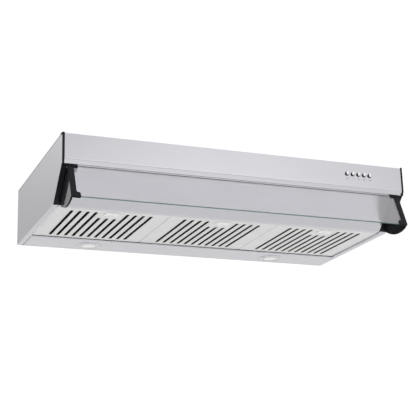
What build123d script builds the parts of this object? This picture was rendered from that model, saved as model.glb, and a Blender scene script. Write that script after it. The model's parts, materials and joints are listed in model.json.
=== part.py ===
from build123d import *
from math import atan2, cos, degrees, hypot, radians, sin
import os

# Under-cabinet range hood, 90 cm wide, with a tilting glass visor, three filters and two blowers.
# Lengths are in millimetres. Everything is modelled with x from the hood's middle (+ to its
# right, seen from the front), y back from the front fascia and z up from the flat underside.
# The parts are written in the hood's own frame, whose origin is the middle of the top panel's
# upper face.

# ---- case ----
WIDTH = 900.0
DEPTH = 475.0
HEIGHT = 150.0
SHEET = 1.0               # thickness of every steel sheet
FOLD = 2.0                # outside radius of a sharp fold
GAP = 0.3                 # clearance between pieces that only stand side by side
FASCIA_BEND = 86.0        # height at which the fascia starts to curl back
CURL_RADIUS = 9.0
LIP_DEPTH = 6.0           # how far back the fascia's lip ends
LIP_HEIGHT = 76.0         # height of the lip's underside
LIP_FLANGE = 16.0         # height of the flange folded up behind the lip
TOP_FLANGE = 14.0         # depth of the fascia's flange under the cabinet
SLANT_FOOT = 87.0         # where the slanted lower front meets the underside
FRONT_RAIL = 18.0         # depth of the flat rail between the slant and the filters
SIDE_RAIL = 15.5          # width of the flat rail beside the filters
REAR_STRIP = 96.0         # depth of the lamp panel behind the filters
RAIL_LIP = 8.0            # height of the lips folded up around the filters
LAMP_PANEL_LIP = 3.0      # the rear lip is low, so that the filters' tongues pass over it
SIDE_FLANGE = 12.0        # width of the flange under the top panel
MOUNT_SPACING_X = 720.0
MOUNT_SPACING_Y = 300.0
MOUNT_HOLE_R = 3.0
WALL_HOLE_SPACING = 600.0
WALL_HOLE_R = 4.0
WALL_HOLE_DROP = 40.0     # wall holes, below the top
SCREW_R = 1.75
SCREW_HEAD_R = 3.6
SCREW_HEAD = 2.2
SCREW_CROSS = (0.9, 4.0, 1.2)   # width, length and depth of the cross in a screw's head
CASE_SCREW_LENGTH = 8.0
CASE_SCREW_ROWS = (0.17, 0.5, 0.83)     # shares of the depth
LIP_BEND = 1.3            # outside radius of the tight folds at the lip
LAMP_PANEL_BEND = 1.5

# ---- end caps ----
CAP_STRIP = 5.2           # width of the black strip at each end of the fascia
CAP_WRAP = 3.2            # how far the strip runs back round the corner
CAP_PROUD = 0.8           # how far the strip stands in front of the fascia
CAP_WIDTH = 27.4          # width of the black strip at each end of the slant
CAP_DEPTH = 15.0          # thickness of the cap behind the slant
CAP_TAIL = 17.0           # how far the tail runs back along the top edge
CAP_TAIL_DROP = 5.5
CAP_TAIL_END = 2.0        # height of the tail's back end
CAP_TAIL_PROUD = 1.2      # how far the tail stands out from the side
CAP_TOP_RISE = 11.0       # the cap's block above the lip's underside
CAP_FOOT = 1.0            # how far the cap runs back along the underside
HEEL_WIDTH = 4.0          # rib along the cap's inner edge, back to the filters
HEEL_HEIGHT = 4.0

# ---- visor ----
PIVOT_Y = 15.0
PIVOT_Z = 71.0
VISOR_TILT = 22.0         # forward lean of the open glass from the vertical
GLASS = 4.0
GLASS_LENGTH = 88.0
GLASS_TOP = 3.0           # top edge of the glass, down the slant from the pivot
GLASS_OFF_SLANT = 1.8     # gap behind the closed glass
GLASS_INSET = 23.0        # end of the glass, in from the end of the hood
ARM_INSET = 14.0          # outer face of an arm, in from the end of the hood
ARM_WIDTH = 14.2
ARM_CHEEK = 4.5           # thickness of the cheek plate
ARM_SKIN = 1.4            # plastic in front of the glass
ARM_BACK = 1.0            # plastic behind the glass
BARREL_R = 5.0
BARREL_LENGTH = 24.0
KNUCKLE_DOWN = 3.5        # the knuckle's middle, down the slant from the pivot
KNUCKLE_OUT = 6.0         # the knuckle's middle, out from the pivot
GRIP_R = 5.4              # radius of the knuckle that grips the glass's top corner
FOOT_LENGTH = 23.2
FOOT_HEIGHT = 12.5
FOOT_BELOW_GLASS = 1.6
ARM_CORNER = 5.0          # radius between an arm and its foot
CHEEK_R = 94.0
CHEEK_TAIL = 3.0          # degrees that the open cheek reaches behind the slant
PIN_R = 2.5
PIN_INSET = 2.5           # outer end of a pivot pin, in from the end of the hood
PIN_LENGTH = 24.0
RUNNING_FIT = 0.05        # radial clearance of a shaft in its bore
SWING_GAP = 1.0           # clearance around what swings through a slot
CHEEK_SLOT_START = -150.0 # the cheek's slot and the arm's relief start at these angles, which
RELIEF_START = -228.0     # are both well in front of the slant

# ---- filters ----
FILTER_COUNT = 3
FILTER_GAP = 1.4          # between neighbouring filters
FILTER_RECESS = 4.0       # filters' face above the underside
FILTER_HEIGHT = 9.0
FILTER_END_GAP = 1.2
FILTER_SHEET = 1.0
TRAY_CORNER = 2.5
TRAY_EDGE = 1.6
SLOT_COUNT = 11
SLOT_PITCH = 20.0
SLOT_WIDTH = 8.4
SLOT_FRONT = 28.0         # front ends of the long slots, behind the filter's front edge
SLOT_BACK = 15.0          # back ends of the slots, before the filter's back edge
SLOT_SHORT_COUNT = 3      # shorter slots behind the latch
SLOT_SHORT_FRONT = 74.0
MESH = 1.2                # thickness of the expanded mesh
MESH_HEIGHT = 4.0         # mesh above the tray's floor
TONGUE_WIDTH = 16.0
TONGUE_REACH = 9.0
TONGUE_SPACING = 180.0
LATCH_FRONT = 14.0        # inside of the latch's case, behind the filter's front edge
LATCH_CASE = (34.0, 46.0) # inside of the case, across and from front to back
LATCH_FACE = (34.0, 26.0) # the plate under the tray, across and from front to back
LATCH_FACE_FRONT = 6.5    # front of that plate, behind the front of the case's inside
LATCH_FACE_SHEET = 1.6
LATCH_GRIP = (16.0, 4.0, 2.2)   # the finger ridge under the plate
LATCH_NECK = (16.0, 10.0)       # what joins the plate to the slide through the tray
LATCH_TONGUE = 20.0
LATCH_TRAVEL = 6.0
LATCH_WALL = 1.2
LATCH_PLATE = 2.0

# ---- lamps ----
LAMP_SPACING = 532.0
LAMP_FROM_BACK = 42.0
LENS_R = 19.0
LAMP_R = 25.0             # outside of the lamp's cup, above the lamp panel
BEZEL_R = 34.0
BEZEL = 1.4
LAMP_HEIGHT = 26.0
LAMP_WALL = 1.5
CHIP = 3.5                # side of a light-emitting chip
CHIP_COUNT = 6

# ---- controls ----
BUTTON_COUNT = 5
BUTTON_PITCH = 16.15
BUTTON_FIRST_X = 287.9
BUTTON_Z = 119.0
BUTTON_R = 5.2
BUTTON_PROUD = 4.6
BUTTON_SKIRT = 3.0        # depth of the cap behind the fascia's front face
BUTTON_TRAVEL = 3.0
BUTTON_EDGE = 2.6          # radius of a button's domed edge
STEM_R = 2.4
STEM_LENGTH = 15.0
BANK_HALF_HEIGHT = 12.0
BANK_BACK = 8.0           # the switches behind the stems' bores

# ---- blowers ----
DUCT_R = 74.5             # outside radius of the collar, for 150 mm duct
COLLAR_WALL = 1.5
COLLAR_HEIGHT = 36.0
COLLAR_FLANGE = 16.0
COLLAR_SCREW_LENGTH = 6.0
STOP_DEPTH = 4.0          # the ring under the flaps, in from the collar's bore
STOP_DROP = 2.0           # below the flaps' knuckles
DUCT_Y = 290.0
IMPELLER_R = 75.0
IMPELLER_HEIGHT = 50.0
IMPELLER_BASE = 66.0
BLADE_COUNT = 32
BLADE_LENGTH = 15.0
BLADE = 1.2
BLADE_ANGLE = 35.0
BLADE_INSET = 0.6         # blade tips inside the wheel's rim
CUP_R = 40.0
HUB_R = 9.0
SHAFT_R = 4.0
SHAFT_IN_MOTOR = 20.0
MOTOR_EDGE = 3.0
MOTOR_R = 34.0
MOTOR_BASE = 86.0
SCROLL_WALL = 2.0
SCROLL_BASE = 58.0
SCROLL_SPLIT = 104.0
SCROLL_CLEARANCE = 9.0    # impeller to the nearest wall
SCROLL_STEP = 7.0         # growth of the scroll in each quarter turn
TONGUE_ANGLE = 32.0
INLET_R = 62.0
BLOWER_X = 225.0
BOX_HALF_WIDTH = 88.0
BOX_HALF_DEPTH = 90.0
EAR_R = 7.0
EAR_HEIGHT = 10.0

# ---- damper ----
FLAP = 1.2
FLAP_GAP = 2.5            # between a flap's rim and the collar
FLAP_HEIGHT = 12.0        # spindle above the top panel
SPINDLE_R = 2.0
KNUCKLE_R = 3.4
KNUCKLE_LENGTH = 25.0
KNUCKLE_STARTS = (-60.0, 5.0)   # the left flap's knuckles, from the collar's middle
KNUCKLE_WEB = 3.0

# ---- electrics ----
TERMINAL_BOX = (100.0, 56.0, 40.0)
TERMINAL_X = 200.0
TERMINAL_Y = 432.0
CAPACITOR_R = 12.0
CAPACITOR_LENGTH = 50.0
GLAND_X = 340.0
GLAND_Y = 440.0
GLAND_R = 8.0
GLAND_BORE_R = 3.7
GLAND_ABOVE = 14.0
GLAND_BELOW = 12.0
NUT = 5.0                 # thickness of the gland's nuts
NUT_MARGIN = 4.0          # a nut's corners beyond the gland's thread

# ---- worked out from the sizes above ----
HALF = WIDTH / 2
FRAME = Pos(0, -DEPTH / 2, -HEIGHT)
UNDER_TOP = HEIGHT - SHEET
SLANT_RISE = LIP_HEIGHT / (SLANT_FOOT - LIP_DEPTH)
SLANT_ANGLE = degrees(atan2(LIP_HEIGHT, SLANT_FOOT - LIP_DEPTH))
SWING = 90 + VISOR_TILT - SLANT_ANGLE
PIVOT_BEHIND_SLANT = (
    (PIVOT_Y - LIP_DEPTH) * sin(radians(SLANT_ANGLE)) + (PIVOT_Z - LIP_HEIGHT) * cos(radians(SLANT_ANGLE))
)
HEAD_REACH = max(
    hypot(PIVOT_BEHIND_SLANT + GLASS_OFF_SLANT + GLASS + ARM_SKIN, BARREL_R),
    hypot(KNUCKLE_DOWN, KNUCKLE_OUT) + GRIP_R,
)
PIVOT_AXIS = Axis((0, PIVOT_Y, PIVOT_Z), (1, 0, 0))
CLOSED_VISOR = Plane(
    origin=(0, PIVOT_Y, PIVOT_Z),
    x_dir=(1, 0, 0),
    z_dir=(0, -sin(radians(SLANT_ANGLE)), -cos(radians(SLANT_ANGLE))),
)
RAIL_BACK = SLANT_FOOT + FRONT_RAIL
STRIP_FRONT = DEPTH - REAR_STRIP
FILTER_PITCH = (WIDTH - 2 * SIDE_RAIL) / FILTER_COUNT
FILTER_WIDTH = FILTER_PITCH - FILTER_GAP
FILTER_FRONT = RAIL_BACK + FILTER_END_GAP
FILTER_BACK = STRIP_FRONT - FILTER_END_GAP
SCROLL_R = IMPELLER_R + SCROLL_CLEARANCE
SCROLL_OUT = SCROLL_R + 3 * SCROLL_STEP
TONGUE_Y = SCROLL_R * sin(radians(TONGUE_ANGLE))
BLOWER_Y = DUCT_Y - (SCROLL_OUT + TONGUE_Y) / 2
LAMP_Y = DEPTH - LAMP_FROM_BACK
SPINDLE_Z = HEIGHT + FLAP_HEIGHT


def block(x, y, z):
    """A box between three pairs of limits."""
    middle = [(low + high) / 2 for low, high in (x, y, z)]
    return Pos(*middle) * Box(*[high - low for low, high in (x, y, z)])


def rod(start, direction, radius, length):
    """A round bar of the given length from its start point."""
    bar = Cylinder(radius, length, align=(Align.CENTER, Align.CENTER, Align.MIN))
    return Plane(origin=start, z_dir=direction) * bar


def outline(*points):
    """The flat shape inside straight lines between points."""
    return make_face(Polyline(*points, close=True))


def folded(points, radii):
    """The section of a sheet whose outer face follows points, with its thickness on the left."""
    return make_face(offset(FilletPolyline(*points, radius=radii), SHEET, side=Side.LEFT))


def along_x(section, x_from, x_to):
    """A section drawn in (y, z), extruded from one x to another."""
    return Plane.YZ.offset(x_from) * extrude(section, x_to - x_from)


def along_y(section, y_from, y_to):
    """A section drawn in (x, z), extruded from one y to another."""
    return Plane.XZ.offset(-y_to) * extrude(section, y_to - y_from)


def along_z(section, z_from, z_to):
    """A section drawn in (x, y), extruded from one z to another."""
    return Pos(0, 0, z_from) * extrude(section, z_to - z_from)


def slant_z(y):
    """Height of the slanted front at a given y."""
    return LIP_HEIGHT - (y - LIP_DEPTH) * SLANT_RISE


def mirrored(shape):
    """The right-hand twin of a left-hand piece."""
    return mirror(shape, about=Plane.YZ)


def write(name, shape):
    """Export a piece, moved to the hood's own frame."""
    export_step(Part(children=list((FRAME * shape).solids()), label=name), f"parts/{name}.step")


def screw(x, y, z, length):
    """A pan-head screw driven down, with its head standing on z."""
    head = Pos(x, y, z + SCREW_HEAD / 2) * Cylinder(SCREW_HEAD_R, SCREW_HEAD)
    head = fillet(head.edges().filter_by(GeomType.CIRCLE).sort_by(Axis.Z)[-1], SCREW_HEAD * 0.6)
    width, reach, depth = SCREW_CROSS
    for size in ((width, reach), (reach, width)):
        head -= Pos(x, y, z + SCREW_HEAD) * Box(*size, 2 * depth)
    return head + rod((x, y, z), (0, 0, -1), SCREW_R, length)


# ---------------------------------------------------------------- case

def top_screws():
    """Screws through the top panel into the side panels' flanges."""
    inset = SIDE_FLANGE / 2
    rows = [DEPTH * share for share in CASE_SCREW_ROWS]
    return [screw(side * (HALF - inset), y, HEIGHT, CASE_SCREW_LENGTH) for side in (-1, 1) for y in rows]


def front_fascia():
    """The vertical front, with its top flange, curled lip and button holes."""
    lip = LIP_DEPTH + 2 * SHEET
    corners = [
        (TOP_FLANGE, HEIGHT),
        (0, HEIGHT),
        (0, FASCIA_BEND),
        (LIP_DEPTH - SHEET / 2, LIP_HEIGHT),
        (lip, LIP_HEIGHT),
        (lip, LIP_HEIGHT + LIP_FLANGE),
    ]
    reach = HALF - CAP_STRIP - GAP
    sheet = along_x(folded(corners, [FOLD, CURL_RADIUS, LIP_BEND, LIP_BEND]), -reach, reach)
    for x in button_places():
        sheet -= rod((x, -SHEET, BUTTON_Z), (0, 1, 0), BUTTON_R + GAP, 3 * SHEET)
    return sheet


def lower_front_panel():
    """The slanted panel behind the glass, folded back into the rail in front of the filters."""
    front = LIP_DEPTH + 2 * SHEET
    corners = [
        (front, LIP_HEIGHT + LIP_FLANGE),
        (front, slant_z(front)),
        (SLANT_FOOT, 0),
        (RAIL_BACK, 0),
        (RAIL_BACK, RAIL_LIP),
    ]
    reach = HALF - SIDE_RAIL - GAP
    sheet = along_x(folded(corners, FOLD), -reach, reach)
    cap_end = -HALF + SHEET + CAP_WIDTH + GAP
    notch = block((-HALF, cap_end), (0, SLANT_FOOT + CAP_FOOT + GAP), (-1, HEIGHT))
    notch += block((cap_end - HEEL_WIDTH - 2 * GAP, cap_end), (0, RAIL_BACK - FOLD), (-1, RAIL_LIP))
    notch += arm_relief() + barrel_relief()
    sheet -= notch
    sheet -= mirrored(notch)
    for x in filter_places():
        window = (x - LATCH_TONGUE / 2, x + LATCH_TONGUE / 2)
        height = FILTER_RECESS + FILTER_SHEET
        sheet -= block(window, (RAIL_BACK - 2, RAIL_BACK + 1), (height, RAIL_LIP - SHEET))
    return sheet


def left_side_panel():
    """A side, with its top flange and the rail folded in beside the filters."""
    corners = [
        (-HALF + SIDE_FLANGE, UNDER_TOP),
        (-HALF, UNDER_TOP),
        (-HALF, 0),
        (-HALF + SIDE_RAIL, 0),
        (-HALF + SIDE_RAIL, RAIL_LIP),
    ]
    sheet = along_y(folded(corners, FOLD), 0, DEPTH - SHEET)
    front = CAP_WRAP
    profile = outline(
        (front, HEIGHT - CAP_TAIL_DROP),
        (front, slant_z(front + SHEET)),
        (front + SHEET, slant_z(front + SHEET)),
        (SLANT_FOOT, 0),
        (DEPTH, 0),
        (DEPTH, HEIGHT),
        (CAP_TAIL, HEIGHT),
        (CAP_TAIL, HEIGHT - CAP_TAIL_END),
    )
    sheet &= along_x(profile, -HALF, 0)
    inside = (-HALF + SHEET, 0)
    sheet -= block(inside, (0, SLANT_FOOT + CAP_FOOT + GAP), (-1, HEIGHT / 2))
    sheet -= block(inside, (0, CAP_TAIL + GAP), (HEIGHT / 2, HEIGHT))
    for fastener in top_screws():
        sheet -= fastener
    return sheet


def left_end_cap():
    """The black moulding at the end of the front: its strip, tail, slotted block and pin boss."""
    strip_x = (-HALF, -HALF + CAP_STRIP)
    strip = block(strip_x, (-CAP_PROUD, CAP_WRAP - GAP), (LIP_HEIGHT - SHEET, HEIGHT))
    strip = fillet(strip.edges().filter_by(Axis.Z).group_by(Axis.Y)[0], CAP_PROUD)
    chin = outline(
        (-CAP_PROUD, FASCIA_BEND),
        (LIP_DEPTH, LIP_HEIGHT - SHEET),
        (-CAP_PROUD, LIP_HEIGHT - SHEET),
    )
    strip -= along_x(chin, *strip_x)
    tail_end = CAP_TAIL - GAP
    tail = outline(
        (CAP_WRAP - GAP, HEIGHT),
        (tail_end, HEIGHT),
        (tail_end, HEIGHT - CAP_TAIL_END + GAP),
        (CAP_WRAP - GAP, HEIGHT - CAP_TAIL_DROP + GAP),
    )
    tail = along_x(tail, -HALF - CAP_TAIL_PROUD, -HALF + CAP_STRIP)
    y_front = LIP_DEPTH + 2 * SHEET + GAP
    z_top = LIP_HEIGHT + CAP_TOP_RISE
    deep = CAP_DEPTH / cos(radians(SLANT_ANGLE))
    foot = SLANT_FOOT + CAP_FOOT
    back_at_top = LIP_DEPTH + (LIP_HEIGHT + deep - z_top) / SLANT_RISE
    foot_rise = slant_z(foot) + deep
    profile = outline(
        (y_front, z_top),
        (y_front, slant_z(y_front)),
        (SLANT_FOOT, 0),
        (foot, 0),
        (foot, foot_rise),
        (back_at_top, z_top),
    )
    inner = -HALF + SHEET + CAP_WIDTH
    shoe = along_x(profile, -HALF + SHEET, inner)
    heel_y = (SLANT_FOOT - SHEET, RAIL_BACK - FOLD - GAP)
    heel = block((inner - HEEL_WIDTH, inner), heel_y, (0, HEEL_HEIGHT))
    bridge_z = (LIP_HEIGHT - SHEET, LIP_HEIGHT + CAP_TOP_RISE)
    bridge = block((-HALF + SHEET, -HALF + CAP_STRIP), (CAP_WRAP - 2 * SHEET, y_front), bridge_z)
    cheek_x = -HALF + ARM_INSET
    slot = pivot_sector(CHEEK_R + SWING_GAP, CHEEK_SLOT_START, -SLANT_ANGLE + SWING + 2 * CHEEK_TAIL)
    slot = along_x(slot, cheek_x - SWING_GAP, cheek_x + ARM_CHEEK + SWING_GAP)
    cap = strip + tail + bridge + shoe + heel
    return cap - barrel_relief() - arm_relief() - slot - left_pivot_pin()


def barrel_relief():
    """Room for the left arm's barrel."""
    start = (-HALF + ARM_INSET - SWING_GAP, PIVOT_Y, PIVOT_Z)
    return rod(start, (1, 0, 0), BARREL_R + SWING_GAP, BARREL_LENGTH + 2 * SWING_GAP)


def arm_relief():
    """Room in front of the pivot for the head of the left arm as it swings."""
    x = -HALF + ARM_INSET
    room = pivot_sector(HEAD_REACH + SWING_GAP / 2, RELIEF_START, -SLANT_ANGLE)
    return along_x(room, x - SWING_GAP, x + BARREL_LENGTH + SWING_GAP)


def pivot_sector(radius, start, end):
    """A pie slice about the visor's pivot, in (y, z), from one angle to another."""
    rim = CenterArc((PIVOT_Y, PIVOT_Z), radius, start, end - start)
    sides = [Line((PIVOT_Y, PIVOT_Z), rim @ 0), Line(rim @ 1, (PIVOT_Y, PIVOT_Z))]
    return make_face([sides[0], rim, sides[1]])


def top_panel():
    """The flat top, with the duct hole, the cabinet's screw holes and the cable gland's hole."""
    front = TOP_FLANGE + GAP
    corners = [(front, UNDER_TOP - SIDE_FLANGE), (front, HEIGHT), (DEPTH, HEIGHT)]
    section = make_face(offset(FilletPolyline(*corners, radius=FOLD), SHEET, side=Side.RIGHT))
    sheet = along_x(section, -HALF, HALF)
    ends = HALF - SIDE_FLANGE - GAP
    for side in (-1, 1):
        low, high = sorted((side * ends, side * HALF))
        sheet -= block((low, high), (0, front + 2 * FOLD), (0, HEIGHT + 1))
    sheet -= rod((0, DUCT_Y, 0), (0, 0, 1), DUCT_R - COLLAR_WALL, 2 * HEIGHT)
    sheet -= rod((GLAND_X, GLAND_Y, 0), (0, 0, 1), GLAND_R, 2 * HEIGHT)
    for x in (-MOUNT_SPACING_X / 2, MOUNT_SPACING_X / 2):
        for y in (-MOUNT_SPACING_Y / 2, MOUNT_SPACING_Y / 2):
            sheet -= rod((x, DEPTH / 2 + y, 0), (0, 0, 1), MOUNT_HOLE_R, 2 * HEIGHT)
    for fastener in top_screws() + blower_screws() + collar_screws():
        sheet -= fastener
    return sheet


def back_panel():
    """The flat back, with two holes for screws into the wall."""
    sheet = block((-HALF, HALF), (DEPTH - SHEET, DEPTH), (0, UNDER_TOP))
    for x in (-WALL_HOLE_SPACING / 2, WALL_HOLE_SPACING / 2):
        sheet -= rod((x, DEPTH - 2, HEIGHT - WALL_HOLE_DROP), (0, 1, 0), WALL_HOLE_R, 4)
    return sheet


def lamp_panel():
    """The strip behind the filters, with a low front lip, a rear flange and two lamp holes."""
    corners = [
        (STRIP_FRONT, LAMP_PANEL_LIP),
        (STRIP_FRONT, 0),
        (DEPTH - SHEET, 0),
        (DEPTH - SHEET, SIDE_FLANGE),
    ]
    reach = HALF - SIDE_RAIL - GAP
    section = make_face(offset(FilletPolyline(*corners, radius=LAMP_PANEL_BEND), SHEET, side=Side.LEFT))
    sheet = along_x(section, -reach, reach)
    for x in lamp_places():
        sheet -= rod((x, LAMP_Y, -SHEET), (0, 0, 1), LAMP_R, 3 * SHEET)
    return sheet


# ---------------------------------------------------------------- visor

def closed_block(x, down, out):
    """A box beside the closed visor's pivot: along x, down the slant and out from it."""
    return CLOSED_VISOR * block(x, (-down[1], -down[0]), out)


def glass_faces():
    """Distances of the glass's back and front faces from the pivot, out from the slant."""
    back = PIVOT_BEHIND_SLANT + GLASS_OFF_SLANT
    return back, back + GLASS


def opened(shape):
    """A piece of the closed visor, turned to where the open visor stands."""
    return shape.rotate(PIVOT_AXIS, -SWING)


def closed_glass():
    reach = HALF - GLASS_INSET
    return closed_block((-reach, reach), (GLASS_TOP, GLASS_TOP + GLASS_LENGTH), glass_faces())


def visor_glass():
    """The flat glass, with its long edges ground."""
    glass = closed_glass()
    glass = chamfer(glass.edges().filter_by(Axis.X), 0.5)
    return opened(glass)


def left_visor_arm():
    """An arm that grips the end of the glass, with its pivot barrel, foot and cheek plate."""
    outer = -HALF + ARM_INSET
    inner = outer + ARM_WIDTH
    foot_end = outer + FOOT_LENGTH
    back, front = glass_faces()
    low, high = back - ARM_BACK, front + ARM_SKIN
    bottom = GLASS_TOP + GLASS_LENGTH + FOOT_BELOW_GLASS
    foot_top = FOOT_HEIGHT - bottom
    face = outline(
        (outer, 0), (inner, 0), (inner, foot_top), (foot_end, foot_top), (foot_end, -bottom), (outer, -bottom)
    )
    face = fillet(face.vertices().sort_by_distance((inner, foot_top))[0], ARM_CORNER)
    face = fillet(face.vertices().sort_by_distance((foot_end, foot_top))[0], ARM_CORNER / 2)
    plate = extrude(face, high - low)
    plate = fillet(plate.faces().sort_by(Axis.Z)[-1].edges(), ARM_SKIN / 2)
    plate = CLOSED_VISOR * Pos(0, 0, low) * plate
    barrel = rod((outer, PIVOT_Y, PIVOT_Z), (1, 0, 0), BARREL_R, BARREL_LENGTH)
    barrel = fillet(barrel.edges().filter_by(GeomType.CIRCLE).sort_by(Axis.X)[-1], BARREL_R / 2)
    neck = closed_block((outer, inner), (0, BARREL_R), (0, high - ARM_SKIN / 2))
    knuckle = CLOSED_VISOR * rod((outer, -KNUCKLE_DOWN, KNUCKLE_OUT), (1, 0, 0), GRIP_R, BARREL_LENGTH)
    knuckle = fillet(knuckle.edges().filter_by(GeomType.CIRCLE).sort_by(Axis.X)[-1], GRIP_R / 2)
    cheek = pivot_sector(CHEEK_R, -SLANT_ANGLE, -SLANT_ANGLE + SWING + CHEEK_TAIL)
    cheek = along_x(cheek, outer, outer + ARM_CHEEK)
    web = closed_block((outer, outer + ARM_CHEEK), (0, bottom), (0, back))
    arm = plate + barrel + neck + knuckle + cheek + web - closed_glass()
    arm -= rod(pin_start(), (1, 0, 0), PIN_R + RUNNING_FIT, PIN_LENGTH + GAP)
    return opened(arm)


def pin_start():
    """The outer end of the left pivot pin."""
    return (-HALF + PIN_INSET, PIVOT_Y, PIVOT_Z)


def left_pivot_pin():
    """A steel pin, fixed in the end cap, that an arm turns on."""
    return rod(pin_start(), (1, 0, 0), PIN_R, PIN_LENGTH)


def pivot_pins():
    pin = left_pivot_pin()
    return pin + mirrored(pin)


# ---------------------------------------------------------------- filters

def filter_places():
    """The middle of each filter, from left to right."""
    first = -(FILTER_COUNT - 1) / 2
    return [(first + k) * FILTER_PITCH for k in range(FILTER_COUNT)]


def slot_section(front, back, width):
    """A round-ended slot that runs back from front."""
    return Pos(0, (front + back) / 2) * SlotOverall(back - front, width, rotation=90)


def filter_panel():
    """A shallow pressed tray with slots, rear tongues and a window for the latch."""
    half = FILTER_WIDTH / 2
    z = (FILTER_RECESS, FILTER_RECESS + FILTER_HEIGHT)
    tray = block((-half, half), (FILTER_FRONT, FILTER_BACK), z)
    tray = fillet(tray.edges().filter_by(Axis.Z), TRAY_CORNER)
    tray = fillet(tray.faces().sort_by(Axis.Z)[0].edges(), TRAY_EDGE)
    inside = block(
        (-half + FILTER_SHEET, half - FILTER_SHEET),
        (FILTER_FRONT + FILTER_SHEET, FILTER_BACK - FILTER_SHEET),
        (z[0] + FILTER_SHEET, z[1] + 1),
    )
    tray -= fillet(inside.edges().filter_by(Axis.Z), TRAY_CORNER - FILTER_SHEET)
    middle = (SLOT_COUNT - 1) / 2
    for k in range(SLOT_COUNT):
        short = abs(k - middle) <= (SLOT_SHORT_COUNT - 1) / 2
        front = FILTER_FRONT + (SLOT_SHORT_FRONT if short else SLOT_FRONT)
        slot = slot_section(front, FILTER_BACK - SLOT_BACK, SLOT_WIDTH)
        tray -= Pos((k - middle) * SLOT_PITCH, 0, 0) * along_z(slot, 0, z[0] + 2 * FILTER_SHEET)
    for x in (-TONGUE_SPACING / 2, TONGUE_SPACING / 2):
        ends = (x - TONGUE_WIDTH / 2, x + TONGUE_WIDTH / 2)
        reach = (FILTER_BACK - FILTER_SHEET, FILTER_BACK + TONGUE_REACH)
        low = z[0] + FILTER_SHEET
        tray += block(ends, reach, (low, low + FILTER_SHEET))
    front, back = latch_neck_limits()
    half = LATCH_NECK[0] / 2 + SWING_GAP
    window = (front - SWING_GAP, back + LATCH_TRAVEL + SWING_GAP)
    window = block((-half, half), window, (0, z[0] + 2 * FILTER_SHEET))
    tray -= fillet(window.edges().filter_by(Axis.Z), TRAY_CORNER)
    return tray - latch_mouth(FILTER_FRONT)


def latch_neck_limits():
    """Front and back of the latch's neck, in the middle of its plate."""
    middle = FILTER_FRONT + LATCH_FRONT + LATCH_FACE_FRONT + LATCH_FACE[1] / 2
    return middle - LATCH_NECK[1] / 2, middle + LATCH_NECK[1] / 2


def latch_mouth(y):
    """The opening in a wall at y that the latch's tongue passes through."""
    half = LATCH_TONGUE / 2
    low = FILTER_RECESS + FILTER_SHEET + LATCH_WALL - GAP
    return block((-half, half), (y - 1, y + 2 * LATCH_WALL), (low, low + LATCH_PLATE + 2 * GAP))


def filter_mesh():
    """The sheet of expanded mesh held in a filter's tray, cut away round the latch's case."""
    half = FILTER_WIDTH / 2 - FILTER_SHEET - GAP
    low = FILTER_RECESS + FILTER_SHEET + MESH_HEIGHT
    y = (FILTER_FRONT + FILTER_SHEET + GAP, FILTER_BACK - FILTER_SHEET - GAP)
    mesh = fillet(block((-half, half), y, (low, low + MESH)).edges().filter_by(Axis.Z), TRAY_CORNER)
    case = latch_case_limits(GAP)
    return mesh - block(case[0], (0, case[1][1]), case[2])


def latch_case_limits(margin):
    """The limits of the latch's case, grown by a margin."""
    width, depth = LATCH_CASE
    half = width / 2 + LATCH_WALL + margin
    front = FILTER_FRONT + LATCH_FRONT - LATCH_WALL - margin
    back = FILTER_FRONT + LATCH_FRONT + depth + LATCH_WALL + margin
    low = FILTER_RECESS + FILTER_SHEET
    high = FILTER_RECESS + FILTER_HEIGHT - GAP
    return (-half, half), (front, back), (low - margin, high + margin)


def latch_case():
    """The moulded case, closed above, that the latch slides in."""
    x, y, z = latch_case_limits(0)
    wall = LATCH_WALL
    case = fillet(block(x, y, z).edges().filter_by(Axis.Z), wall)
    case -= block((x[0] + wall, x[1] - wall), (y[0] + wall, y[1] - wall), (z[0] - 1, z[1] - wall))
    return case - latch_mouth(y[0])


def latch_slide():
    """The sliding plate with its tongue, joined by a neck to the plate and finger ridge below."""
    low = FILTER_RECESS + FILTER_SHEET + LATCH_WALL
    z = (low, low + LATCH_PLATE)
    half = LATCH_CASE[0] / 2 - SWING_GAP
    front = FILTER_FRONT + LATCH_FRONT
    back = front + LATCH_CASE[1] - LATCH_TRAVEL - SWING_GAP
    slide = block((-half, half), (front + SWING_GAP, back), z)
    tongue_half = LATCH_TONGUE / 2 - SWING_GAP
    slide += block((-tongue_half, tongue_half), (RAIL_BACK + GAP, front + 2 * SWING_GAP), z)
    width, depth = LATCH_FACE
    face_y = (front + LATCH_FACE_FRONT, front + LATCH_FACE_FRONT + depth)
    face_top = FILTER_RECESS - GAP
    face_base = face_top - LATCH_FACE_SHEET
    face = block((-width / 2, width / 2), face_y, (face_base, face_top))
    face = fillet(face.edges().filter_by(Axis.Z), 2 * SWING_GAP)
    grip_width, grip_depth, grip_height = LATCH_GRIP
    grip_y = (face_y[1] - grip_depth, face_y[1])
    grip = block((-grip_width / 2, grip_width / 2), grip_y, (face_base - grip_height, face_base))
    grip = fillet(grip.faces().sort_by(Axis.Z)[0].edges(), GAP)
    neck = block((-LATCH_NECK[0] / 2, LATCH_NECK[0] / 2), latch_neck_limits(), (face_top, low))
    return slide + face + grip + neck


# ---------------------------------------------------------------- lamps

def lamp_places():
    return [-LAMP_SPACING / 2, LAMP_SPACING / 2]


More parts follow.
